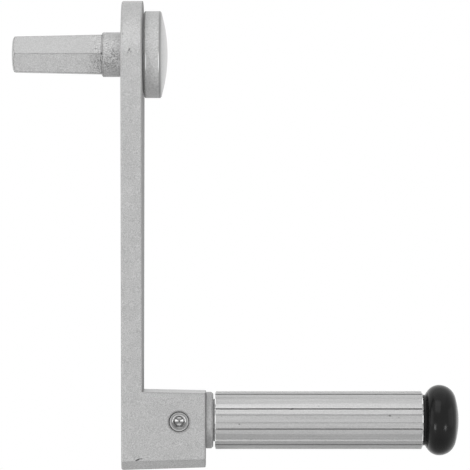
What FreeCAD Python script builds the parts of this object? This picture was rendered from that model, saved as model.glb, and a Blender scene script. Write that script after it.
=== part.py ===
import FreeCAD, Part
import math
import os
import re
import Sketcher
from FreeCAD import Vector

# Crank handle, in millimetres. The origin lies on the spindle's axis, in the arm's seat face.
# +X runs along the spindle and the grip, towards the end cap, and the arm hangs down along -Z.

SIZES = {
    # arm and its foot, one casting
    "throwLength": 180.0,        # spindle axis to grip axis
    "hubRadius": 26.4,
    "armThickness": 10.4,
    "footReach": 41.2,           # seat face to the face that the grip runs against
    "footAbove": 14.65,          # top of the foot above the grip's axis, beside the arm
    "footBelow": 23.9,           # underside of the foot below the grip's axis, at the seat face
    "footWidth": 28.0,           # at the underside
    "topDraft": 1.2,             # degrees, top of the foot
    "undersideDraft": 1.8,       # degrees, underside of the foot
    "footBevel": 4.2,            # lower long edges of the foot
    "bevelRounding": 0.6,        # where that bevel meets its neighbours
    "seatRounding": 1.0,         # outline of the seat face
    "edgeRounding": 0.45,        # every other outer edge of the casting

    # hub joint
    "squareAcross": 14.0,        # spindle's square in the arm
    "washerPocketRadius": 13.5,
    "washerPocketDepth": 3.0,
    "registerRadius": 19.3,      # ring that carries the hub cap
    "registerWidth": 4.2,
    "registerHeight": 3.0,
    "capGap": 0.6,               # shadow gap between arm and cap

    # drive spindle
    "hexRootAcross": 19.0,
    "hexTipAcross": 17.2,
    "hexLength": 44.4,
    "noseSag": 0.6,              # dome of the spindle's end
    "noseBevel": 0.9,            # off the middle of each flat
    "collarRadius": 11.0,
    "collarLength": 9.8,
    "collarBevel": 0.6,
    "studRadius": 6.0,
    "studPastNut": 1.2,

    # washers, nut and cap on the hub
    "hubWasherRadius": 12.0,
    "hubWasherThickness": 2.5,
    "lockWasherRadius": 10.5,
    "lockWasherThickness": 2.5,
    "lockWasherSlit": 1.2,
    "nutAcross": 18.0,
    "nutHeight": 6.0,
    "capRadius": 21.4,
    "capRimLength": 8.4,
    "capDomeSag": 3.0,
    "capWall": 1.9,
    "capLedge": 0.7,             # inner step that stops the cap on its ring
    "capBevel": 0.6,

    # axle and the screw that holds it
    "axleRadius": 7.0,
    "axleDepth": 28.0,           # length held in the foot
    "axleBevel": 0.8,
    "axleFlat": 1.5,             # flat for the screw's point
    "axleFlatLength": 13.0,
    "screwStation": 12.9,        # screw axis back from the foot's outer face
    "screwRadius": 5.0,
    "screwLength": 9.4,
    "screwBevel": 0.7,
    "screwSocketAcross": 5.0,
    "screwSocketDepth": 4.5,
    "screwMouthRadius": 3.3,     # countersink of the socket
    "screwDrillRadius": 2.3,     # drilled core of the socket
    "screwDrillAngle": 59.0,     # degrees, half the drill's point
    "holeBevel": 0.4,
    "axleStudRadius": 5.0,
    "axleStudLength": 8.0,

    # rotating grip
    "thrustRadius": 13.9,
    "thrustThickness": 3.7,
    "thrustBevel": 0.4,          # beside the foot
    "thrustOuterBevel": 0.9,     # beside the grip
    "gripRadius": 14.25,
    "gripLength": 101.9,
    "gripBevel": 0.4,
    "gripTurn": 4.4,             # degrees, how far the grip is turned as it stands
    "fluteCount": 9,
    "slotWidth": 0.8,
    "slotDepth": 1.1,
    "channelWidth": 3.4,         # at the floor
    "channelMouth": 4.6,
    "channelDepth": 0.8,
    "bushRadius": 9.8,
    "bushLength": 16.0,
    "bushFlangeRadius": 10.4,
    "bushFlangeThickness": 0.8,

    # outer end of the axle
    "endWasherRadius": 10.0,
    "endWasherThickness": 1.2,
    "ringThickness": 1.0,
    "axleTail": 1.6,             # plain axle past the ring
    "ringGrooveDepth": 0.3,
    "ringWidth": 1.7,
    "ringOpening": 4.0,
    "ringLugRadius": 1.4,
    "ringEyeRadius": 0.7,

    # end cap
    "knobNeckRadius": 12.5,
    "knobNeckLength": 1.2,
    "knobLipRadius": 13.8,
    "knobLipLength": 0.7,
    "knobRadius": 17.33,
    "knobShoulder": 6.18,        # lip to the widest ring
    "knobBackRadius": 6.9,       # roundness between lip and widest ring
    "knobFrontRadius": 8.3,      # roundness between widest ring and face
    "knobFaceRadius": 41.0,      # gentle dome of the face
    "knobWall": 1.5,             # round the recess for ring and washer
    "knobGap": 0.3,

    # fits
    "seatGap": 0.02,             # radial, between pieces that are fixed together
    "runningGap": 0.05,          # radial, between axle and bushes
    "axialPlay": 0.1,

    # shared
    "bevelAngle": 30.0,          # degrees from the end's plane, bevels turned on hexagons
    "cutMargin": 1.0,            # how far a cutting outline runs past the surface
}

doc = FreeCAD.newDocument("CrankHandle")
sheet = doc.addObject("Spreadsheet::Sheet", "Sizes")
for row, (alias, number) in enumerate(SIZES.items(), start=1):
    sheet.set(f"A{row}", alias)
    sheet.set(f"B{row}", str(number))
    sheet.setAlias(f"B{row}", alias)
doc.recompute()


# ---------------------------------------------------------------- helpers

def linked(formula):
    """The formula with each size name pointing at its cell."""
    return re.sub(r"[A-Za-z]\w*", lambda w: "Sizes." + w[0] if w[0] in SIZES else w[0], formula)


def value(formula):
    """What the formula comes to now."""
    result = sheet.evalExpression(linked(formula))
    return float(getattr(result, "Value", result))


def bind(item, **formulas):
    for name, formula in formulas.items():
        item.setExpression(name.replace("_", "."), linked(formula))


def new_body(label, station="0", height="0"):
    body = doc.addObject("PartDesign::Body", label)
    body.Label = label
    bind(body, Placement_Base_x=station, Placement_Base_z=height)
    return body


def new_sketch(body, role, name, offset=None, turn=None):
    """A sketch on one of the body's own planes, moved along its normal and turned in it."""
    sketch = body.newObject("Sketcher::SketchObject", name)
    plane = next(f for f in body.Origin.OriginFeatures if f.Role == role)
    sketch.AttachmentSupport = [(plane, "")]
    sketch.MapMode = "FlatFace"
    if offset:
        bind(sketch, AttachmentOffset_Base_z=offset)
    if turn:
        bind(sketch, AttachmentOffset_Rotation_Angle=turn)
    return sketch


def pin(sketch, geo, point, x, y):
    """Hold one point of the sketch at the coordinates that two formulas give."""
    for kind, formula in (("DistanceX", x), ("DistanceY", y)):
        index = sketch.addConstraint(Sketcher.Constraint(kind, geo, point, value(formula)))
        sketch.setExpression(f"Constraints[{index}]", linked(formula))


def outline(sketch, corners):
    """A closed outline. Each corner is (x, y), or (x, y, radius) where the stretch that leads to
    it is an arc: a positive radius bulges to the right of the way there, a negative one to the left."""
    spots = [Vector(value(c[0]), value(c[1]), 0) for c in corners]
    ends = []
    for i, corner in enumerate(corners):
        start, stop = spots[i - 1], spots[i]
        if len(corner) == 2:
            geo = sketch.addGeometry(Part.LineSegment(start, stop))
            ends.append((geo, 1, 2))
            continue
        radius = value(corner[2])
        chord = stop - start
        height = math.sqrt(max(radius ** 2 - (chord.Length / 2) ** 2, 0.0))
        left = Vector(-chord.y, chord.x, 0).normalize()
        centre = (start + stop) * 0.5 + left * (height if radius > 0 else -height)
        first, last = (start, stop) if radius > 0 else (stop, start)
        angles = [math.atan2(p.y - centre.y, p.x - centre.x) for p in (first, last)]
        circle = Part.Circle(centre, Vector(0, 0, 1), abs(radius))
        geo = sketch.addGeometry(Part.ArcOfCircle(circle, angles[0], angles[1]))
        index = sketch.addConstraint(Sketcher.Constraint("Radius", geo, abs(radius)))
        sketch.setExpression(f"Constraints[{index}]", linked(f"abs({corner[2]})"))
        ends.append((geo, 1, 2) if radius > 0 else (geo, 2, 1))
    for i, (geo, start, stop) in enumerate(ends):
        pin(sketch, geo, stop, corners[i][0], corners[i][1])
        following, opening, _ = ends[(i + 1) % len(ends)]
        sketch.addConstraint(Sketcher.Constraint("Coincident", geo, stop, following, opening))
    return sketch


def ring(sketch, radius, x="0", y="0"):
    centre = Vector(value(x), value(y), 0)
    geo = sketch.addGeometry(Part.Circle(centre, Vector(0, 0, 1), value(radius)))
    index = sketch.addConstraint(Sketcher.Constraint("Radius", geo, value(radius)))
    sketch.setExpression(f"Constraints[{index}]", linked(radius))
    if (x, y) == ("0", "0"):
        sketch.addConstraint(Sketcher.Constraint("Coincident", geo, 3, -1, 1))
    else:
        pin(sketch, geo, 3, x, y)
    return sketch


def hexagon(sketch, across):
    """A hexagon with two flats level and a corner on either side."""
    corner, half = f"{across} / sqrt(3)", f"{across} / 2"
    return outline(sketch, [
        (corner, "0"), (f"{corner} / 2", half), (f"-{corner} / 2", half),
        (f"-{corner}", "0"), (f"-{corner} / 2", f"-{half}"), (f"{corner} / 2", f"-{half}"),
    ])


def rectangle(sketch, half_width, low, high):
    return outline(sketch, [
        (f"-({half_width})", low), (half_width, low), (half_width, high), (f"-({half_width})", high),
    ])


def feature(body, kind, name, profile, **settings):
    item = body.newObject(f"PartDesign::{kind}", name)
    item.Profile = profile
    for key, setting in settings.items():
        if isinstance(setting, str) and key in ("Length", "Angle"):
            bind(item, **{key: setting})
        else:
            setattr(item, key, setting)
    profile.Visibility = False
    return item


def spun(body, kind, name, corners):
    """Revolution or Groove of an outline (station along X, radius) about the body's X axis."""
    sketch = outline(new_sketch(body, "XZ_Plane", name + "Profile"), corners)
    return feature(body, kind, name, sketch, ReferenceAxis=(sketch, ["H_Axis"]))


SLACK = 0.01    # allowed when an edge is chosen by its place


def edges_where(body, test, reach=0.0):
    """Names of the body's edges whose ends and middle all satisfy the test, and which run along X
    for at least the given reach."""
    doc.recompute()
    names = []
    for number, edge in enumerate(body.Tip.Shape.Edges, start=1):
        middle = edge.valueAt(sum(edge.ParameterRange) / 2)
        points = [v.Point for v in edge.Vertexes] + [middle]
        if edge.BoundBox.XLength >= reach and all(test(p) for p in points):
            names.append(f"Edge{number}")
    return names


def soften(body, kind, name, size, test, reach=0.0):
    """Fillet or Chamfer of the edges that satisfy the test."""
    base = body.Tip
    names = edges_where(body, test, reach)
    item = body.newObject(f"PartDesign::{kind}", name)
    item.Base = (base, names)
    bind(item, **{"Radius" if kind == "Fillet" else "Size": size})
    base.Visibility = False
    return item


def near(a, b):
    return abs(a - b) < SLACK


# ---------------------------------------------------------------- stations along X

WASHER_SEAT = "(armThickness - washerPocketDepth)"
NUT_SEAT = f"({WASHER_SEAT} + hubWasherThickness + lockWasherThickness)"
CAP_START = "(armThickness + capGap)"
THRUST_END = "(footReach + thrustThickness)"
GRIP_START = f"({THRUST_END} + axialPlay + bushFlangeThickness)"
GRIP_END = f"({GRIP_START} + gripLength)"
END_WASHER = f"({GRIP_END} + axialPlay)"
RING_SEAT = f"({END_WASHER} + endWasherThickness)"
AXLE_SHOULDER = f"({RING_SEAT} + ringThickness + axleTail)"
KNOB_START = f"({GRIP_END} + knobGap)"
GRIP_AXIS = "-throwLength"


# ---------------------------------------------------------------- arm

def crank_arm():
    """One casting: round hub, tapering arm, and a drafted foot that holds the grip's axle."""
    body = new_body("crank_arm")

    plan = new_sketch(body, "YZ_Plane", "ArmPlan")
    low, half, hub = value("-throwLength - footBelow"), value("footWidth / 2"), value("hubRadius")
    lean = math.atan((hub - half) / -low)        # first guess; the tangents settle it
    drop = -hub * math.sin(lean)
    arc = plan.addGeometry(Part.ArcOfCircle(
        Part.Circle(Vector(0, 0, 0), Vector(0, 0, 1), hub), -lean, math.pi + lean))
    left = plan.addGeometry(Part.LineSegment(Vector(-hub, drop, 0), Vector(-half, low, 0)))
    base = plan.addGeometry(Part.LineSegment(Vector(-half, low, 0), Vector(half, low, 0)))
    right = plan.addGeometry(Part.LineSegment(Vector(half, low, 0), Vector(hub, drop, 0)))
    radius = plan.addConstraint(Sketcher.Constraint("Radius", arc, hub))
    plan.setExpression(f"Constraints[{radius}]", linked("hubRadius"))
    plan.addConstraint([
        Sketcher.Constraint("Coincident", arc, 3, -1, 1),
        Sketcher.Constraint("Tangent", arc, 2, left, 1),
        Sketcher.Constraint("Tangent", right, 2, arc, 1),
        Sketcher.Constraint("Coincident", left, 2, base, 1),
        Sketcher.Constraint("Coincident", base, 2, right, 1),
    ])
    pin(plan, base, 1, "-footWidth / 2", "-throwLength - footBelow")
    pin(plan, base, 2, "footWidth / 2", "-throwLength - footBelow")
    feature(body, "Pad", "ArmAndFoot", plan, Length="footReach")

    # the sides as seen from the front: free space above the foot, draft below it
    corner, top = "-throwLength + footAbove", "hubRadius + cutMargin"
    above = outline(new_sketch(body, "XZ_Plane", "AboveFoot"), [
        ("armThickness", corner),
        ("footReach", f"{corner} - (footReach - armThickness) * tan(topDraft)"),
        ("footReach + cutMargin", f"{corner} - (footReach - armThickness) * tan(topDraft)"),
        ("footReach + cutMargin", top), ("armThickness", top),
    ])
    feature(body, "Pocket", "Clearance", above, Type="ThroughAll", SideType="Symmetric")
    underside = "-throwLength - footBelow"
    below = outline(new_sketch(body, "XZ_Plane", "BelowFoot"), [
        ("0", underside), ("0", f"{underside} - cutMargin"),
        ("footReach + cutMargin", f"{underside} - cutMargin"),
        ("footReach + cutMargin", f"{underside} + (footReach + cutMargin) * tan(undersideDraft)"),
    ])
    feature(body, "Pocket", "Draft", below, Type="ThroughAll", SideType="Symmetric")

    step, fall = value(corner), value("footReach * tan(topDraft)")
    rise = value("footReach * tan(undersideDraft)")
    side = half - value("cutMargin")
    soften(body, "Chamfer", "FootBevels", "footBevel",
           lambda p: p.z < low + rise + SLACK and abs(p.y) > half - SLACK)
    bevel = value("footBevel") + SLACK
    soften(body, "Fillet", "BevelEdges", "bevelRounding",
           lambda p: abs(p.y) > half - bevel and p.z < low + rise + bevel, reach=value("armThickness"))
    soften(body, "Fillet", "SeatEdges", "seatRounding", lambda p: near(p.x, 0))
    soften(body, "Fillet", "OuterEdges", "edgeRounding", lambda p: (
        near(p.x, value("footReach"))
        or near(p.x, value("armThickness")) and (p.z > step + SLACK or abs(p.y) > side)
        or p.x > value("armThickness") - SLACK and step - fall < p.z < step + SLACK
        and abs(p.y) > side))

    # register ring for the cap, round the pocket for the nut's washers
    register = new_sketch(body, "YZ_Plane", "RegisterProfile", offset="armThickness")
    ring(register, "registerRadius")
    ring(register, "registerRadius - registerWidth")
    feature(body, "Pad", "Register", register, Length="registerHeight")
    pocket = ring(new_sketch(body, "YZ_Plane", "WasherPocketProfile", offset="armThickness"),
                  "washerPocketRadius")
    feature(body, "Pocket", "WasherPocket", pocket, Length="washerPocketDepth")
    hole = "squareAcross / 2 + seatGap"
    square = rectangle(new_sketch(body, "YZ_Plane", "SquareProfile"), hole, f"-({hole})", hole)
    feature(body, "Pocket", "SquareHole", square, Type="ThroughAll", Reversed=True)

    # bore for the axle, and the tapped hole of the screw that holds it
    bore = ring(new_sketch(body, "YZ_Plane", "AxleBoreProfile", offset="footReach"),
                "axleRadius + seatGap", y=GRIP_AXIS)
    feature(body, "Pocket", "AxleBore", bore, Length="axleDepth + axleBevel")
    tapped = ring(new_sketch(body, "XZ_Plane", "ScrewHoleProfile"),
                  "screwRadius + seatGap", x="footReach - screwStation", y=GRIP_AXIS)
    feature(body, "Pocket", "ScrewHole", tapped, Type="ThroughAll", Reversed=True)
    axis = Vector(value("footReach - screwStation"), 0, value(GRIP_AXIS))
    soften(body, "Chamfer", "ScrewHoleMouth", "holeBevel", lambda p: (
        p.y < -value("axleRadius + cutMargin")
        and near(math.hypot(p.x - axis.x, p.z - axis.z), value("screwRadius + seatGap"))))
    return body


# ---------------------------------------------------------------- hub

def drive_spindle():
    """Tapered hexagon with a domed nose, round collar, square for the arm, and a stud."""
    body = new_body("drive_spindle")
    tip = "-(collarLength + hexLength)"
    root = hexagon(new_sketch(body, "YZ_Plane", "HexRoot", offset="-collarLength"), "hexRootAcross")
    end = hexagon(new_sketch(body, "YZ_Plane", "HexTip", offset=tip), "hexTipAcross")
    feature(body, "AdditiveLoft", "TaperedHexagon", root, Sections=[end], Ruled=True)

    flat, corner = "hexTipAcross / 2", "hexTipAcross / sqrt(3)"
    face, outside = f"({flat} - noseBevel)", f"({corner} + cutMargin)"
    dome = f"(({face}^2 + noseSag^2) / (2 * noseSag))"
    spun(body, "Groove", "Nose", [
        (f"{tip} - cutMargin", "0"), (tip, "0"), (f"{tip} + noseSag", face, f"-{dome}"),
        (f"{tip} + noseSag + ({outside} - {face}) * tan(bevelAngle)", outside),
        (f"{tip} - cutMargin", outside),
    ])
    spun(body, "Revolution", "Collar", [
        ("-collarLength", "0"), ("0", "0"), ("0", "collarRadius"),
        ("collarBevel - collarLength", "collarRadius"),
        ("-collarLength", "collarRadius - collarBevel"),
    ])
    half = "squareAcross / 2"
    square = rectangle(new_sketch(body, "YZ_Plane", "SquareProfile"), half, f"-{half}", half)
    feature(body, "Pad", "Square", square, Length=f"{WASHER_SEAT} - axialPlay")
    stud_end = f"({NUT_SEAT} + nutHeight + studPastNut)"
    spun(body, "Revolution", "Stud", [
        ("0", "0"), (stud_end, "0"), (stud_end, "studRadius - axleBevel"),
        (f"{stud_end} - axleBevel", "studRadius"), ("0", "studRadius"),
    ])
    return body


def hub_washer():
    body = new_body("hub_washer", WASHER_SEAT)
    profile = ring(new_sketch(body, "YZ_Plane", "WasherProfile"), "hubWasherRadius")
    ring(profile, "studRadius + runningGap")
    feature(body, "Pad", "Washer", profile, Length="hubWasherThickness")
    return body


def lock_washer():
    """Spring washer with its slit."""
    body = new_body("lock_washer", f"{WASHER_SEAT} + hubWasherThickness")
    profile = ring(new_sketch(body, "YZ_Plane", "WasherProfile"), "lockWasherRadius")
    ring(profile, "studRadius + runningGap")
    feature(body, "Pad", "Washer", profile, Length="lockWasherThickness")
    slit = rectangle(new_sketch(body, "YZ_Plane", "SlitProfile", turn="20"),
                     "lockWasherSlit / 2", "studRadius / 2", "lockWasherRadius + cutMargin")
    feature(body, "Pocket", "Slit", slit, Type="ThroughAll", Reversed=True)
    return body


def spindle_nut():
    body = new_body("spindle_nut", NUT_SEAT)
    profile = hexagon(new_sketch(body, "YZ_Plane", "NutProfile"), "nutAcross")
    ring(profile, "studRadius + runningGap")
    feature(body, "Pad", "Nut", profile, Length="nutHeight")
    flat, corner = "nutAcross / 2", "(nutAcross / sqrt(3) + cutMargin)"
    bevel = f"({corner} - {flat}) * tan(bevelAngle)"
    spun(body, "Groove", "OuterBevel", [
        ("nutHeight", flat), ("nutHeight", corner), (f"nutHeight - {bevel}", corner)])
    spun(body, "Groove", "InnerBevel", [("0", flat), (bevel, corner), ("0", corner)])
    return body


def hub_cap():
    """Turned cover over the nut: a bevelled rim, a gentle dome and a ledge that seats on the ring."""
    body = new_body("hub_cap")
    rim_end = f"({CAP_START} + capRimLength)"
    apex = f"({rim_end} + capDomeSag)"
    face = "(capRadius - capBevel)"
    dome = f"(({face}^2 + capDomeSag^2) / (2 * capDomeSag))"
    register = "(registerRadius + seatGap)"
    inner = f"({register} - capLedge)"
    ledge = "(armThickness + registerHeight)"
    spun(body, "Revolution", "Cap", [
        (apex, "0"), (rim_end, face, dome),
        (f"{rim_end} - capBevel", "capRadius"), (f"{CAP_START} + capBevel", "capRadius"),
        (CAP_START, face), (CAP_START, register), (ledge, register), (ledge, inner),
        (f"{rim_end} - capWall / 2", inner), (f"{apex} - capWall", "0"),
    ])
    return body


# ---------------------------------------------------------------- axle

def grip_axle():
    """Turned rod: flat for the screw, groove for the retaining ring, stud for the end cap."""
    body = new_body("grip_axle", "footReach", GRIP_AXIS)
    shoulder = f"({AXLE_SHOULDER} - footReach)"
    end = f"({shoulder} + axleStudLength)"
    groove = f"({RING_SEAT} - footReach)"
    groove_end = f"({groove} + ringThickness + axialPlay)"
    spun(body, "Revolution", "Rod", [
        ("-axleDepth", "0"), (end, "0"), (end, "axleStudRadius - axleBevel"),
        (f"{end} - axleBevel", "axleStudRadius"), (shoulder, "axleStudRadius"),
        (shoulder, "axleRadius"), ("axleBevel - axleDepth", "axleRadius"),
        ("-axleDepth", "axleRadius - axleBevel"),
    ])
    spun(body, "Groove", "RingGroove", [
        (groove, "axleRadius - ringGrooveDepth"),
        (groove_end, "axleRadius - ringGrooveDepth"),
        (groove_end, "axleRadius + cutMargin"), (groove, "axleRadius + cutMargin"),
    ])
    flat = outline(new_sketch(body, "XZ_Plane", "FlatProfile", offset="axleRadius + cutMargin"), [
        ("-screwStation - axleFlatLength / 2", "-axleRadius"),
        ("axleFlatLength / 2 - screwStation", "-axleRadius"),
        ("axleFlatLength / 2 - screwStation", "axleRadius"),
        ("-screwStation - axleFlatLength / 2", "axleRadius"),
    ])
    feature(body, "Pocket", "ScrewFlat", flat, Length="axleFlat + cutMargin")
    return body


def axle_screw():
    """Socket set screw, its point on the axle's flat."""
    body = new_body("axle_screw", "footReach - screwStation", GRIP_AXIS)
    bind(body, Placement_Base_y="axleFlat - axleRadius")
    shank = ring(new_sketch(body, "XZ_Plane", "ShankProfile"), "screwRadius")
    feature(body, "Pad", "Shank", shank, Length="screwLength")
    radius = value("screwRadius")
    soften(body, "Chamfer", "ShankEnds", "screwBevel", lambda p: near(math.hypot(p.x, p.z), radius)
           and (near(p.y, 0) or near(p.y, -value("screwLength"))))
    socket = hexagon(new_sketch(body, "XZ_Plane", "SocketProfile", offset="screwLength"),
                     "screwSocketAcross")
    feature(body, "Pocket", "Socket", socket, Length="screwSocketDepth")
    # the countersunk mouth, and the drill's point under the hexagon
    floor = "screwSocketDepth - screwLength"
    drilled = outline(new_sketch(body, "XY_Plane", "DrillProfile"), [
        ("0", "-screwLength"), ("screwMouthRadius", "-screwLength"),
        ("screwDrillRadius", "(screwMouthRadius - screwDrillRadius) * tan(bevelAngle) - screwLength"),
        ("screwDrillRadius", floor), ("0", f"{floor} + screwDrillRadius / tan(screwDrillAngle)"),
    ])
    feature(body, "Groove", "MouthAndPoint", drilled, ReferenceAxis=(drilled, ["V_Axis"]))
    return body


def thrust_collar():
    """Loose ring between foot and grip."""
    body = new_body("thrust_collar", "footReach", GRIP_AXIS)
    bore = "(axleRadius + seatGap)"
    spun(body, "Revolution", "Ring", [
        ("0", bore), ("thrustThickness", bore), ("thrustThickness", "thrustRadius - thrustOuterBevel"),
        ("thrustThickness - thrustOuterBevel", "thrustRadius"), ("thrustBevel", "thrustRadius"),
        ("0", "thrustRadius - thrustBevel"),
    ])
    return body


def retaining_ring():
    """Open spring ring with two eyed lugs, in the axle's groove."""
    body = new_body("retaining_ring", RING_SEAT, GRIP_AXIS)
    inside = "(axleRadius - ringGrooveDepth + seatGap)"
    outside = f"({inside} + ringWidth)"
    lug_x = "(ringOpening / 2 + ringLugRadius)"
    lug_y = f"sqrt(({inside} + ringLugRadius)^2 - {lug_x}^2)"
    profile = ring(new_sketch(body, "YZ_Plane", "RingProfile"), outside)
    ring(profile, inside)
    feature(body, "Pad", "Ring", profile, Length="ringThickness")
    opening = rectangle(new_sketch(body, "YZ_Plane", "OpeningProfile"),
                        "ringOpening / 2", "0", f"{outside} + cutMargin")
    feature(body, "Pocket", "Opening", opening, Type="ThroughAll", Reversed=True)
    for side, name in (("-", "Left"), ("", "Right")):
        lug = ring(new_sketch(body, "YZ_Plane", name + "LugProfile"), "ringLugRadius", side + lug_x, lug_y)
        feature(body, "Pad", name + "Lug", lug, Length="ringThickness")
        eye = ring(new_sketch(body, "YZ_Plane", name + "EyeProfile"), "ringEyeRadius", side + lug_x, lug_y)
        feature(body, "Pocket", name + "Eye", eye, Type="ThroughAll", Reversed=True)
    return body


def end_washer():
    body = new_body("end_washer", END_WASHER, GRIP_AXIS)
    profile = ring(new_sketch(body, "YZ_Plane", "WasherProfile"), "endWasherRadius")
    ring(profile, "axleRadius + runningGap")
    feature(body, "Pad", "Washer", profile, Length="endWasherThickness")
    return body


def end_cap():
    """Moulded knob screwed on the axle's stud, hollow behind its neck for ring and washer."""
    body = new_body("end_cap")
    bind(body, Placement_Base_z=GRIP_AXIS)
    neck_end = f"({KNOB_START} + knobNeckLength)"
    lip_end = f"({neck_end} + knobLipLength)"
    widest = f"({lip_end} + knobShoulder)"
    # the face's dome meets the front roundness where both lean alike
    lean = "asin((knobRadius - knobFrontRadius) / (knobFaceRadius - knobFrontRadius))"
    meet_x = f"({widest} + knobFrontRadius * cos({lean}))"
    meet_r = f"(knobFaceRadius * sin({lean}))"
    apex = f"({meet_x} + knobFaceRadius * (1 - cos({lean})))"
    lip = f"(knobRadius - knobBackRadius + sqrt(knobBackRadius^2 - knobShoulder^2))"
    recess = "(knobNeckRadius - knobWall)"
    recess_end = f"({RING_SEAT} + ringThickness + knobGap)"
    bore, stud = "(axleRadius + seatGap)", "(axleStudRadius + seatGap)"
    stud_end = f"({AXLE_SHOULDER} + axleStudLength + knobGap)"
    shoulder = f"({AXLE_SHOULDER} + axialPlay)"
    spun(body, "Revolution", "Knob", [
        (apex, "0"), (meet_x, meet_r, "knobFaceRadius"), (widest, "knobRadius", "knobFrontRadius"),
        (lip_end, lip, "knobBackRadius"), (lip_end, "knobLipRadius"),
        (neck_end, "knobNeckRadius"), (KNOB_START, "knobNeckRadius"), (KNOB_START, recess),
        (recess_end, recess), (recess_end, bore), (shoulder, bore), (shoulder, stud),
        (stud_end, stud), (stud_end, "0"),
    ])
    return body


# ---------------------------------------------------------------- rotating grip

def grip_sleeve():
    """Extruded tube with narrow slots and wide shallow channels by turns."""
    body = new_body("grip_sleeve", GRIP_START, GRIP_AXIS)
    tube = ring(new_sketch(body, "YZ_Plane", "TubeProfile"), "gripRadius")
    ring(tube, "bushRadius + seatGap")
    feature(body, "Pad", "Tube", tube, Length="gripLength")
    radius, length = value("gripRadius"), value("gripLength")
    soften(body, "Chamfer", "TubeEnds", "gripBevel",
           lambda p: near(math.hypot(p.y, p.z), radius) and (near(p.x, 0) or near(p.x, length)))
    channel = outline(new_sketch(body, "YZ_Plane", "ChannelProfile"), [
        ("-channelWidth / 2", "gripRadius - channelDepth"),
        ("channelWidth / 2", "gripRadius - channelDepth"),
        ("channelMouth / 2", "gripRadius"), ("channelMouth / 2", "gripRadius + cutMargin"),
        ("-channelMouth / 2", "gripRadius + cutMargin"), ("-channelMouth / 2", "gripRadius"),
    ])
    channels = feature(body, "Pocket", "Channel", channel, Type="ThroughAll", Reversed=True)
    slot = rectangle(new_sketch(body, "YZ_Plane", "SlotProfile", turn="180 / fluteCount"),
                     "slotWidth / 2", "gripRadius - slotDepth", "gripRadius + cutMargin")
    slots = feature(body, "Pocket", "Slot", slot, Type="ThroughAll", Reversed=True)
    around = body.newObject("PartDesign::PolarPattern", "Flutes")
    around.Originals = [channels, slots]
    around.Axis = (next(f for f in body.Origin.OriginFeatures if f.Role == "X_Axis"), [""])
    bind(around, Occurrences="fluteCount")
    body.Tip = around
    body.Placement.Rotation = FreeCAD.Rotation(Vector(1, 0, 0), value("gripTurn"))
    return body


def bush(label, flanged):
    """Plain bearing pressed into one end of the grip; the inner one has a flange."""
    body = new_body(label, GRIP_START if flanged else f"{GRIP_END} - bushLength", GRIP_AXIS)
    bore = "(axleRadius + runningGap)"
    corners = [("0", bore), ("bushLength", bore), ("bushLength", "bushRadius"), ("0", "bushRadius")]
    if flanged:
        face = "-bushFlangeThickness"
        corners[0] = (face, bore)
        corners += [("0", "bushFlangeRadius"), (face, "bushFlangeRadius")]
    spun(body, "Revolution", "Bearing", corners)
    return body


# ---------------------------------------------------------------- build and write

pieces = [
    crank_arm(), drive_spindle(), hub_washer(), lock_washer(), spindle_nut(), hub_cap(),
    grip_axle(), axle_screw(), thrust_collar(), bush("inner_bush", True), grip_sleeve(),
    bush("outer_bush", False), end_washer(), retaining_ring(), end_cap(),
]
doc.recompute()

for item in doc.Objects:
    if "Invalid" in item.State or "Error" in item.State:
        raise RuntimeError(f"{item.Name} did not compute: {item.State}")
for piece in pieces:
    if piece.Shape.isNull() or not piece.Shape.isValid() or len(piece.Shape.Solids) != 1:
        raise RuntimeError(f"{piece.Label} is not one valid solid")

os.makedirs("parts", exist_ok=True)
for piece in pieces:
    piece.Shape.exportStep(os.path.join("parts", piece.Label + ".step"))
    box = piece.Shape.BoundBox
    print(f"{piece.Label}: {piece.Shape.Volume / 1000:.2f} cm3, x {box.XMin:.2f} to {box.XMax:.2f},"
          f" z {box.ZMin:.2f} to {box.ZMax:.2f}")
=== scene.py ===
import math

import bmesh
import bpy
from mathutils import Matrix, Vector


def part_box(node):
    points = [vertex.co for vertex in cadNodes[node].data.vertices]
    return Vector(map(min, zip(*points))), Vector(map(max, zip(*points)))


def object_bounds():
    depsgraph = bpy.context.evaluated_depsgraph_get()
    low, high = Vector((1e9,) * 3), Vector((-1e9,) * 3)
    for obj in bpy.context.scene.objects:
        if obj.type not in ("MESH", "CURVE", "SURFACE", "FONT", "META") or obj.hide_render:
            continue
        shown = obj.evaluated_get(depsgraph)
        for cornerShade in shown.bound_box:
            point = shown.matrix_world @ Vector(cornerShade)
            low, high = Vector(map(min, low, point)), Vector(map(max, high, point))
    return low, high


# places and sizes are in metres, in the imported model's frame
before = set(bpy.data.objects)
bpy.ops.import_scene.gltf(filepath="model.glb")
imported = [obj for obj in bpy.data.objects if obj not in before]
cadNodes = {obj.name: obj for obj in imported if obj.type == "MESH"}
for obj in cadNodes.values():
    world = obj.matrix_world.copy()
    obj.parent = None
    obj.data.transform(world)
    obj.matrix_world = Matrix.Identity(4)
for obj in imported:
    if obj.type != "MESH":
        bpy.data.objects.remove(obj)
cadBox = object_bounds()
middle = (cadBox[0] + cadBox[1]) / 2
scene = bpy.context.scene
scene.view_settings.view_transform = "Standard"
print("frame loaded:", len(cadNodes), "pieces")


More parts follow.
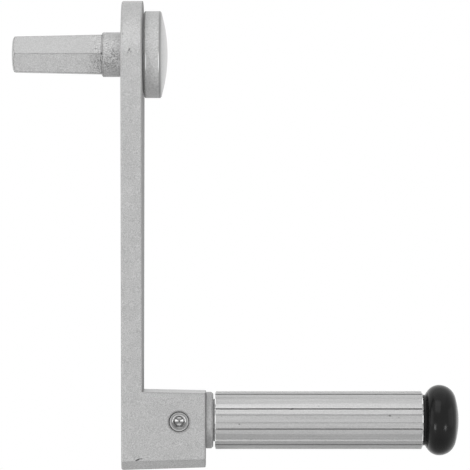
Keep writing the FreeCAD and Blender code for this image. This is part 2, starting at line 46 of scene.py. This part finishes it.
class Wire:  # an output socket; arithmetic on it adds Math nodes
    def __init__(self, sheet, socket):
        self.sheet = sheet
        self.socket = socket

    def maths(self, operation, first, second):
        return self.sheet.add("ShaderNodeMath", {"operation": operation}, {0: first, 1: second})

    def __add__(self, other):
        return self.maths("ADD", self, other)

    def __radd__(self, other):
        return self.maths("ADD", other, self)

    def __sub__(self, other):
        return self.maths("SUBTRACT", self, other)

    def __rsub__(self, other):
        return self.maths("SUBTRACT", other, self)

    def __mul__(self, other):
        return self.maths("MULTIPLY", self, other)

    def __rmul__(self, other):
        return self.maths("MULTIPLY", other, self)

    def __truediv__(self, other):
        return self.maths("DIVIDE", self, other)

    def __rtruediv__(self, other):
        return self.maths("DIVIDE", other, self)

    def __pow__(self, other):
        return self.maths("POWER", self, other)

    def __rpow__(self, other):
        return self.maths("POWER", other, self)


edgeFinder = {
    "samples": 6,
    "bend": (0.998, 0.95),  # agreement of true and rounded normal: on a face, at an edge
}


class NodeSheet:  # the nodes of one material, or of the world
    def __init__(self, owner):
        owner.use_nodes = True
        self.tree = owner.node_tree
        self.tree.nodes.clear()

    def add(self, kind, settings, sources, output=0):
        node = self.tree.nodes.new(kind)
        for name, setting in settings.items():
            if name == "stops":  # of a ramp, between its own black start and white end
                for at, level in setting:
                    node.color_ramp.elements.new(at).color = grey(level)
            else:
                setattr(node, name, setting)
        for name, source in sources.items():
            if isinstance(source, Wire):
                self.tree.links.new(source.socket, node.inputs[name])
            else:
                node.inputs[name].default_value = source
        if node.outputs:
            return Wire(self, node.outputs[output])

    def place(self):
        return self.add("ShaderNodeTexCoord", {}, {}, "Object")

    def along(self, axis):
        return self.add("ShaderNodeSeparateXYZ", {}, {"Vector": self.place()}, axis)

    def facing(self, axis):
        normal = self.add("ShaderNodeNewGeometry", {}, {}, "Normal")
        return self.add("ShaderNodeSeparateXYZ", {}, {"Vector": normal}, axis)

    def noise(self, scale, detail, roughness, vector=None):
        sources = {"Vector": vector or self.place(), "Scale": scale}
        sources.update({"Detail": detail, "Roughness": roughness})
        return self.add("ShaderNodeTexNoise", {}, sources)

    def streaks(self, stretch, detail, roughness):  # noise with its own scale along each axis
        scaled = self.add(
            "ShaderNodeVectorMath", {"operation": "MULTIPLY"}, {0: self.place(), 1: stretch})
        return self.noise(1.0, detail, roughness, scaled)

    def smooth(self, signal, low, high):  # 0 at low, 1 at high, eased between
        sources = {"Value": signal, "From Min": low, "From Max": high}
        return self.add("ShaderNodeMapRange", {"interpolation_type": "SMOOTHSTEP"}, sources)

    def edges(self, reach):  # 1 along the crisp edges, 0 on the open faces
        samples = edgeFinder["samples"]
        rounded = self.add("ShaderNodeBevel", {"samples": samples}, {"Radius": reach})
        face = self.add("ShaderNodeNewGeometry", {}, {}, "Normal")
        alike = self.add(
            "ShaderNodeVectorMath", {"operation": "DOT_PRODUCT"}, {0: rounded, 1: face}, "Value")
        return self.smooth(alike, *edgeFinder["bend"])

    def blend(self, first, second, share):  # first where share is 0
        sources = {0: share, 6: first, 7: second}  # 6 and 7 take colours, and 2 gives one
        return self.add("ShaderNodeMix", {"data_type": "RGBA"}, sources, 2)

    def bump(self, height, distance):
        return self.add("ShaderNodeBump", {}, {"Height": height, "Distance": distance})

    def finish(self, colour, roughness, normal, others):
        sources = {"Base Color": colour, "Roughness": roughness, "Normal": normal, **others}
        shader = self.add("ShaderNodeBsdfPrincipled", {}, sources)
        self.add("ShaderNodeOutputMaterial", {}, {"Surface": shader})


def grey(level):
    return (level, level, level, 1.0)


def radiusOf(first, second):
    return (first * first + second * second) ** 0.5


def apart(place, point):  # the distance between two places on one axis
    return ((place - point) ** 2.0) ** 0.5


def swing(noise, width):  # a noise as a drift either way from nothing
    return width * (noise - 0.5)


def newSheet(name):
    return NodeSheet(bpy.data.materials.new(name))


def dress(material, *names):
    for name in names:
        node = cadNodes[name]
        node.data.materials.clear()
        node.data.materials.append(bpy.data.materials[material])


markShape = {
    "rim": (1.3, 0.3),          # where an oval fades, with 1 at its outline
    "nearSide": (0.0, -0.004),  # marks are on the front half alone
}


def spot(sheet, across, up, length, width, tilt):
    # an oval mark on the near side: 1 at its middle, 0 outside
    turn = math.radians(tilt)
    right = sheet.along("X") - across
    above = sheet.along("Z") - up
    lengthwise = (right * math.cos(turn) + above * math.sin(turn)) / (length / 2)
    crosswise = (above * math.cos(turn) - right * math.sin(turn)) / (width / 2)
    reach = lengthwise * lengthwise + crosswise * crosswise
    near = sheet.smooth(sheet.along("Y"), *markShape["nearSide"])
    return sheet.smooth(reach, *markShape["rim"]) * near


def addMarks(sheet, recipe, colour, height):
    for across, up, length, width, tilt, strength in recipe["marks"]:
        mark = spot(sheet, across, up, length, width, tilt) * strength
        colour = sheet.blend(colour, grey(recipe["markColour"]), mark)
        height = height - mark * recipe["markDepth"]
    return colour, height


everyPaint = {
    "grainNoise": (3.0, 0.7),   # detail and roughness
    "mottleNoise": (2.0, 0.5),
    "grainShare": 0.9,          # the rest is mottle
    "topFacing": (0.6, 0.95),   # faces that look up are rubbed smoother
}


def paintLayers(sheet, recipe):
    # metallic paint: fine grain over a soft mottle, darker along the edges, partly painted shade
    # of the edge roundings and partly wear
    grain = sheet.noise(recipe["grainScale"], *everyPaint["grainNoise"])
    mottle = sheet.noise(recipe["mottleScale"], *everyPaint["mottleNoise"])
    grainShare = everyPaint["grainShare"]
    tone = sheet.smooth(grain * grainShare + mottle * (1 - grainShare), *recipe["grainRange"])
    colour = sheet.blend(grey(recipe["dark"]), grey(recipe["light"]), tone)
    # darker edges: painted shade of the edge roundings, with spots of wear
    shadeAndWear = recipe["edgeShadeAndWear"] + swing(grain, recipe["edgeSpots"])
    shadedAndWorn = sheet.edges(recipe["edgeReach"]) * shadeAndWear
    colour = sheet.blend(colour, grey(recipe["edgeShadeAndWearColour"]), shadedAndWorn)
    top = sheet.smooth(sheet.facing("Z"), *everyPaint["topFacing"])
    roughness = recipe["roughness"] + swing(mottle, recipe["roughnessSpread"])
    return colour, roughness - recipe["topPolish"] * top, grain


castPaint = {
    "light": 0.523,
    "dark": 0.338,
    "grainScale": 2400,
    "grainRange": (0.39, 0.61),
    "grainHeight": 0.00005,
    "mottleScale": 130,
    "edgeReach": 0.0009,
    "edgeShadeAndWear": 0.9,
    "edgeSpots": 1.6,
    "edgeShadeAndWearColour": 0.20,
    "roughness": 0.52,
    "roughnessSpread": 0.10,
    "topPolish": 0.20,
    "metallic": 0.35,
    "specular": 0.3,
    "sideFacing": (0.35, 0.8),
    "sideShadeColour": 0.33,     # painted shade on the side that faces the grip, which is also rough and not metallic
    "sideRoughness": 0.35,
    "gapLightColour": 0.80,     # painted light in the shadowed gap behind the cap on that side
    "gapLightRadius": 0.0215,
    "gapLightFade": 0.0005,
    "marks": [  # across, up, length, width, tilt, strength
        (0.0080, -0.1987, 0.0026, 0.0008, 24, 0.95),
        (0.0098, -0.1981, 0.0018, 0.0005, 4, 0.65),
        (0.0044, 0.0010, 0.0019, 0.0007, 65, 0.65),
        (0.0052, 0.0001, 0.0015, 0.0005, 70, 0.45),
        (0.0038, -0.0005, 0.0010, 0.0006, 30, 0.35),
        (0.0011, 0.0087, 0.0009, 0.0006, 0, 0.45),
    ],
    "markColour": 0.08,
    "markDepth": 4.0,       # in heights of the grain
}


def paintArm(recipe):
    sheet = newSheet("castSilverPaint")
    colour, roughness, grain = paintLayers(sheet, recipe)
    colour, height = addMarks(sheet, recipe, colour, grain)
    # painted shade on the side that faces the grip
    shadedSide = sheet.smooth(sheet.facing("X"), *recipe["sideFacing"])
    colour = sheet.blend(colour, grey(recipe["sideShadeColour"]), shadedSide)
    # painted light in the shadowed gap between hub and cap
    fromAxis = radiusOf(sheet.along("Y"), sheet.along("Z"))
    gapLightRadius = recipe["gapLightRadius"]
    gapLight = sheet.smooth(fromAxis, gapLightRadius, gapLightRadius - recipe["gapLightFade"])
    colour = sheet.blend(colour, grey(recipe["gapLightColour"]), gapLight * shadedSide)
    roughness = roughness + recipe["sideRoughness"] * shadedSide
    metallic = recipe["metallic"] * (1 - shadedSide)
    normal = sheet.bump(height, recipe["grainHeight"])
    others = {"Metallic": metallic, "Specular IOR Level": recipe["specular"]}
    sheet.finish(colour, roughness, normal, others)


paintArm(castPaint)
dress("castSilverPaint", "crank_arm")
print("casting painted")

spindlePaint = {
    "light": 0.59,
    "dark": 0.37,
    "grainScale": 2400,
    "grainRange": (0.39, 0.61),
    "grainHeight": 0.00005,
    "mottleScale": 150,
    "edgeReach": 0.0008,
    "edgeShadeAndWear": 1.0,
    "edgeSpots": 1.4,
    "edgeShadeAndWearColour": 0.20,
    "roughness": 0.52,
    "roughnessSpread": 0.10,
    "topPolish": 0.20,
    "metallic": 0.35,
    "flatFacing": (0.2, 0.45),
    "flatColour": 0.34,     # the upper flats are darker, away from the arm
    "flatShare": 0.45,
    "pitScale": 1800,
    "pitNoise": (3.0, 0.65),
    "pitRange": (0.52, 0.65),
    "pitAlong": (-0.019, -0.009),   # pits begin here, and are dense beside the arm
    "pitBelow": (0.007, -0.004),    # and reach their full number on the lower half
    "pitsAbove": 0.3,
    "pitShare": 0.65,
    "pitColour": 0.18,
    "pitDepth": 5.0,        # in heights of the grain
}


def paintSpindle(recipe):
    sheet = newSheet("spindleSilverPaint")
    colour, roughness, height = paintLayers(sheet, recipe)
    upper = sheet.smooth(sheet.facing("Z"), *recipe["flatFacing"])
    beside = sheet.smooth(sheet.along("X"), *recipe["pitAlong"])
    below = sheet.smooth(sheet.along("Z"), *recipe["pitBelow"])
    upperDarkening = recipe["flatShare"] * upper * (1 - beside)
    colour = sheet.blend(colour, grey(recipe["flatColour"]), upperDarkening)
    pitNoise = sheet.noise(recipe["pitScale"], *recipe["pitNoise"])
    pits = sheet.smooth(pitNoise, *recipe["pitRange"]) * beside
    pits = pits * (recipe["pitsAbove"] + (1 - recipe["pitsAbove"]) * below)
    colour = sheet.blend(colour, grey(recipe["pitColour"]), pits * recipe["pitShare"])
    normal = sheet.bump(height - pits * recipe["pitDepth"], recipe["grainHeight"])
    sheet.finish(colour, roughness, normal, {"Metallic": recipe["metallic"]})


paintSpindle(spindlePaint)
dress("spindleSilverPaint", "drive_spindle")
print("spindle painted")

capPaint = {
    "light": 0.61,
    "dark": 0.35,
    "grainScale": 2000,
    "grainRange": (0.34, 0.66),
    "grainHeight": 0.00003,
    "mottleScale": 110,
    "edgeReach": 0.0007,
    "edgeShadeAndWear": 1.3,
    "edgeSpots": 0.8,
    "edgeShadeAndWearColour": 0.10,
    "roughness": 0.55,
    "roughnessSpread": 0.08,
    "topPolish": 0.10,
    "metallic": 0.15,
    "domeFacing": (0.5, 0.8),
    "domePolish": 0.22,
    "domeLightColour": 0.69,     # painted light: the dome is lighter towards its middle
    "domeAlong": (0.0190, 0.0222),
    "domeEvenness": 0.5,    # the rest follows the grain
    "cornerAt": 0.0190,     # painted shade in the corner between rim and dome
    "cornerReach": 0.0011,
    "cornerShadeColour": 0.26,
    "marks": [  # painted highlights along the rim's two edges
        (0.0122, -0.0046, 0.0095, 0.0006, 90, 0.9),
        (0.0184, -0.0046, 0.0105, 0.0004, 90, 0.9),
    ],
    "markColour": 0.95,
    "markDepth": 0.0,
}


def paintCap(recipe):
    sheet = newSheet("capSilverPaint")
    colour, roughness, grain = paintLayers(sheet, recipe)
    across = sheet.along("X")
    evenness = recipe["domeEvenness"]
    # painted light on the dome
    domeLight = sheet.smooth(across, *recipe["domeAlong"]) * (evenness + (1 - evenness) * grain)
    colour = sheet.blend(colour, grey(recipe["domeLightColour"]), domeLight)
    # painted shade in the corner between rim and dome
    cornerShade = sheet.smooth(apart(across, recipe["cornerAt"]), recipe["cornerReach"], 0.0)
    colour = sheet.blend(colour, grey(recipe["cornerShadeColour"]), cornerShade)
    # the cap's marks are painted highlights
    colour, height = addMarks(sheet, recipe, colour, grain)
    dome = sheet.smooth(sheet.facing("X"), *recipe["domeFacing"])
    roughness = roughness - recipe["domePolish"] * dome
    normal = sheet.bump(height, recipe["grainHeight"])
    sheet.finish(colour, roughness, normal, {"Metallic": recipe["metallic"]})


paintCap(capPaint)
dress("capSilverPaint", "hub_cap")
print("hub cap painted")

anodised = {
    "light": 0.515,
    "dark": 0.385,
    "drawnNoise": (2.0, 0.6),   # detail and roughness
    "lineStretch": (14.0, 2600.0, 2600.0),      # long lines from the die
    "fineStretch": (1500.0, 2300.0, 2300.0),    # and short grain among them
    "lineShare": 0.5,
    "toneRange": (0.34, 0.66),
    "lineHeight": 0.00002,
    "roughness": 0.46,
    "roughnessSpread": 0.12,
    "metallic": 0.65,
    "sawnReach": 0.0005,    # bare bright metal at both sawn ends
    "sawnFull": 0.0003,
    "sawnColour": 0.85,
    "marks": [  # across, up, length, width, tilt, strength
        (0.0835, -0.1739, 0.0021, 0.0007, 8, 0.95),
        (0.0577, -0.1812, 0.0009, 0.0007, 0, 0.8),
        (0.1313, -0.1772, 0.0013, 0.0006, 0, 0.95),
        (0.1357, -0.1780, 0.0008, 0.0005, 0, 0.35),
        (0.0633, -0.1891, 0.0014, 0.0005, 20, 0.35),
        (0.0490, -0.1775, 0.0009, 0.0005, 0, 0.35),
        (0.0965, -0.1725, 0.0010, 0.0008, 0, 0.3),
    ],
    "markColour": 0.10,
    "markDepth": 2.0,       # in heights of the drawn lines
}


def finishGrip(recipe):
    sheet = newSheet("anodisedExtrusion")
    lines = sheet.streaks(recipe["lineStretch"], *recipe["drawnNoise"])
    fine = sheet.streaks(recipe["fineStretch"], *recipe["drawnNoise"])
    mixed = lines * recipe["lineShare"] + fine * (1 - recipe["lineShare"])
    tone = sheet.smooth(mixed, *recipe["toneRange"])
    colour = sheet.blend(grey(recipe["dark"]), grey(recipe["light"]), tone)
    low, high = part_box("grip_sleeve")
    halfLength = (high.x - low.x) / 2
    fromMiddle = apart(sheet.along("X"), (low.x + high.x) / 2)
    sawn = sheet.smooth(
        fromMiddle, halfLength - recipe["sawnReach"], halfLength - recipe["sawnFull"])
    colour = sheet.blend(colour, grey(recipe["sawnColour"]), sawn)
    colour, height = addMarks(sheet, recipe, colour, lines)
    roughness = recipe["roughness"] + swing(fine, recipe["roughnessSpread"])
    normal = sheet.bump(height, recipe["lineHeight"])
    sheet.finish(colour, roughness, normal, {"Metallic": recipe["metallic"]})


finishGrip(anodised)
dress("anodisedExtrusion", "grip_sleeve")
print("grip anodised")

zincScrew = {
    "lightAndShadeRings": [  # distance from the screw's axis, lightness; painted light and shade of the socket's mouth, face and chamfers
        (0.00235, 0.70), (0.00255, 0.14), (0.00285, 0.14), (0.00310, 0.75), (0.00335, 0.70),
        (0.00350, 0.24), (0.00410, 0.30), (0.00435, 0.80), (0.00455, 0.70), (0.00475, 0.12),
    ],
    "ringSpan": 0.0055,     # where the ramp of rings ends
    "floorEdge": (0.0023, 0.00207),     # the socket's floor lies inside this
    "floorSlope": 0.6,      # evens out the drill's point
    "floorPolish": 0.6,
    "creaseRange": (0.6, 0.98),
    "creaseShadeColour": 0.20,
    "sidewaysRange": (0.5, 0.8),
    "raisedFrom": (-0.0007, 0.0003),
    "glintColour": 0.95,    # painted highlight where the floor's upper side facets catch the light
    "shadeColour": 0.16,    # painted shade on the lower ones and the ring under them
    "shadeInner": (0.0022, 0.0026),
    "shadeOuter": (0.0037, 0.0033),
    "grainScale": 1300,
    "grainNoise": (3.0, 0.6),
    "grainRange": (0.5, 0.7),
    "grainShare": 0.5,
    "grainDark": 0.25,
    "grainHeight": 0.00005,
    "roughness": 0.30,
    "roughnessSpread": 0.10,
    "metallic": 0.6,
}


def plateScrew(recipe):
    sheet = newSheet("zincPlatedScrew")
    low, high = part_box("axle_screw")
    right = sheet.along("X") - (low.x + high.x) / 2
    above = sheet.along("Z") - (low.z + high.z) / 2
    square = right * right + above * above
    radius = square ** 0.5
    span = recipe["ringSpan"]
    stops = [(ring / span, level) for ring, level in recipe["lightAndShadeRings"]]
    # rings of painted light and shade round the socket
    colour = sheet.add("ShaderNodeValToRGB", {"stops": stops}, {0: radius / span})
    grain = sheet.noise(recipe["grainScale"], *recipe["grainNoise"])
    speckled = sheet.smooth(grain, *recipe["grainRange"]) * recipe["grainShare"]
    colour = sheet.blend(colour, grey(recipe["grainDark"]), speckled)
    onFloor = sheet.smooth(radius, *recipe["floorEdge"])
    raised = sheet.smooth(above, *recipe["raisedFrom"])
    sideways = sheet.smooth(right * right / square, *recipe["sidewaysRange"]) * onFloor
    # painted highlight on the floor's upper facets, painted shade on the lower ones
    colour = sheet.blend(colour, grey(recipe["glintColour"]), sideways * raised)
    inner = sheet.smooth(radius, *recipe["shadeInner"])
    outer = sheet.smooth(radius, *recipe["shadeOuter"])
    shadeMask = (sideways + inner * outer) * (1 - raised)
    colour = sheet.blend(colour, grey(recipe["shadeColour"]), shadeMask)
    slant = 2 * right * above / square  # 1 or -1 on the two diagonals
    # painted shade in the creases of the socket's floor
    creaseShade = sheet.smooth(slant * slant, *recipe["creaseRange"]) * onFloor
    colour = sheet.blend(colour, grey(recipe["creaseShadeColour"]), creaseShade)
    height = grain * recipe["grainHeight"] - recipe["floorSlope"] * radius * onFloor
    metallic = recipe["metallic"] + (1 - recipe["metallic"]) * onFloor
    roughness = recipe["roughness"] * (1 - recipe["floorPolish"] * onFloor)
    roughness = roughness + swing(grain, recipe["roughnessSpread"])
    sheet.finish(colour, roughness, sheet.bump(height, 1.0), {"Metallic": metallic})


plateScrew(zincScrew)
dress("zincPlatedScrew", "axle_screw")
print("screw plated")

everyPlain = {"grainNoise": (3.0, 0.6), "toneRange": (0.35, 0.65), "roughnessSpread": 0.12}

plainFinishes = {
    "mattCollar": {
        "nodes": ["thrust_collar"],
        "light": 0.45, "dark": 0.34, "scale": 1500, "height": 0.00003,
        "roughness": 0.55, "metallic": 0.35,
    },
    "plainSteel": {
        "nodes": [
            "hub_washer", "lock_washer", "spindle_nut", "grip_axle", "end_washer",
            "retaining_ring",
        ],
        "light": 0.56, "dark": 0.40, "scale": 900, "height": 0.00002,
        "roughness": 0.36, "metallic": 1.0,
    },
    "bearingPolymer": {
        "nodes": ["inner_bush", "outer_bush"],
        "light": 0.62, "dark": 0.50, "scale": 1100, "height": 0.00003,
        "roughness": 0.5, "metallic": 0.0,
    },
}


def finishPlain(name, recipe):
    sheet = newSheet(name)
    grain = sheet.noise(recipe["scale"], *everyPlain["grainNoise"])
    tone = sheet.smooth(grain, *everyPlain["toneRange"])
    colour = sheet.blend(grey(recipe["dark"]), grey(recipe["light"]), tone)
    roughness = recipe["roughness"] + swing(grain, everyPlain["roughnessSpread"])
    normal = sheet.bump(grain, recipe["height"])
    sheet.finish(colour, roughness, normal, {"Metallic": recipe["metallic"]})


for name, recipe in plainFinishes.items():
    finishPlain(name, recipe)
    dress(name, *recipe["nodes"])
print("collar, steel and bushes finished")

blackKnob = {
    "light": 0.013,
    "dark": 0.006,
    "skinNoise": (900, 3.0, 0.5),       # scale, detail, roughness
    "skinHeight": 0.00001,
    "cloudNoise": (110, 3.0, 0.5),
    "foldStretch": (900.0, 60.0, 60.0),     # faint folds round the neck
    "foldNoise": (1.0, 0.5),
    "foldHeight": 0.00008,
    "neck": (0.006, 0.002),     # where the folds fade, from the inner end
    "roughness": 0.20,
    "roughnessSpread": 0.10,
    "specular": 0.16,
}


def finishKnob(recipe):
    sheet = newSheet("blackMouldedRubber")
    cloud = sheet.noise(*recipe["cloudNoise"])
    skin = sheet.noise(*recipe["skinNoise"])
    fold = sheet.streaks(recipe["foldStretch"], *recipe["foldNoise"])
    colour = sheet.blend(grey(recipe["dark"]), grey(recipe["light"]), cloud)
    roughness = recipe["roughness"] + swing(cloud, recipe["roughnessSpread"])
    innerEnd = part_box("end_cap")[0].x
    onNeck = sheet.smooth(sheet.along("X") - innerEnd, *recipe["neck"])
    height = skin * recipe["skinHeight"] + fold * onNeck * recipe["foldHeight"]
    others = {"Specular IOR Level": recipe["specular"]}
    sheet.finish(colour, roughness, sheet.bump(height, 1.0), others)


finishKnob(blackKnob)
dress("blackMouldedRubber", "end_cap")
print("end cap moulded")

cameraView = {
    "distance": 1.6,
    "lens": 248.8,              # in millimetres
    "aim": (-0.0001, -0.0001),  # across and up from the middle of the object
    "clip": (0.1, 30),
}


def placeCamera(view):
    lens = bpy.data.cameras.new("camera")
    camera = bpy.data.objects.new("camera", lens)
    scene.collection.objects.link(camera)
    lens.lens = view["lens"]
    lens.clip_start, lens.clip_end = view["clip"]
    across, up = view["aim"]
    camera.location = middle + Vector((across, -view["distance"], up))
    camera.rotation_euler = (math.radians(90), 0, 0)
    scene.camera = camera


placeCamera(cameraView)
print("camera placed")

floorPlan = {
    "radius": 2.2,
    "segments": 96,
    "drop": 0.6,            # below the object, so that its shadow stays faint
    "colour": 0.72,
    "fade": (0.2, 1.1),     # from plain paper to the backdrop's white
}


def layFloor(plan):
    mesh = bpy.data.meshes.new("floor")
    shape = bmesh.new()
    bmesh.ops.create_circle(
        shape, cap_ends=True, radius=plan["radius"], segments=plan["segments"])
    shape.to_mesh(mesh)
    shape.free()
    floor = bpy.data.objects.new("floor", mesh)
    scene.collection.objects.link(floor)
    floor.location = (middle.x, middle.y, cadBox[0].z - plan["drop"])
    sheet = newSheet("paleFloor")
    paper = sheet.add("ShaderNodeBsdfDiffuse", {}, {"Color": grey(plan["colour"])})
    white = sheet.add("ShaderNodeEmission", {}, {"Color": grey(1.0)})
    rim = sheet.smooth(radiusOf(sheet.along("X"), sheet.along("Y")), *plan["fade"])
    shader = sheet.add("ShaderNodeMixShader", {}, {0: rim, 1: paper, 2: white})
    sheet.add("ShaderNodeOutputMaterial", {}, {"Surface": shader})
    mesh.materials.append(bpy.data.materials["paleFloor"])


layFloor(floorPlan)
print("floor laid")

studioWorld = {
    "backdrop": 1.0,    # white where it is seen, mirrored or looked through
    "shade": 0.5,       # the grey that lights everything else
}


def hangBackdrop(recipe):
    world = bpy.data.worlds.new("studio")
    scene.world = world
    sheet = NodeSheet(world)
    seen = sheet.add("ShaderNodeLightPath", {}, {}, "Is Camera Ray")
    mirrored = sheet.add("ShaderNodeLightPath", {}, {}, "Is Glossy Ray")
    through = sheet.add("ShaderNodeLightPath", {}, {}, "Is Transmission Ray")
    direct = sheet.smooth(seen + mirrored + through, 0.0, 1.0)
    around = sheet.add("ShaderNodeBackground", {}, {"Color": grey(recipe["shade"])})
    backdrop = sheet.add("ShaderNodeBackground", {}, {"Color": grey(recipe["backdrop"])})
    sky = sheet.add("ShaderNodeMixShader", {}, {0: direct, 1: around, 2: backdrop})
    sheet.add("ShaderNodeOutputWorld", {}, {"Surface": sky})


hangBackdrop(studioWorld)
print("backdrop hung")

lamps = {  # placed round the middle of the object and turned to it
    "overhead": {"place": (0.0, -0.1, 1.6), "size": 2.2, "power": 5.1},
    "leftPanel": {"place": (-1.4, -0.3, 0.1), "size": 1.0, "power": 2.9},
    "rightPanel": {"place": (1.4, -0.3, 0.1), "size": 1.0, "power": 2.0},
    "hubLamp": {"place": (-0.12, -0.36, 0.37), "size": 0.45, "power": 0.94},
    "lowLeft": {"place": (-0.672, -0.747, -0.447), "size": 0.25, "power": 2.0},
    "lowRight": {"place": (0.646, -0.770, -0.447), "size": 0.2, "power": 1.3},
}


def hangLamp(name, lamp):
    light = bpy.data.lights.new(name, "AREA")
    light.shape = "SQUARE"
    light.size = lamp["size"]
    light.energy = lamp["power"]
    holder = bpy.data.objects.new(name, light)
    scene.collection.objects.link(holder)
    place = Vector(lamp["place"])
    holder.location = middle + place
    holder.rotation_euler = (-place).to_track_quat("-Z", "Y").to_euler()


for name, lamp in lamps.items():
    hangLamp(name, lamp)
print("studio lit")
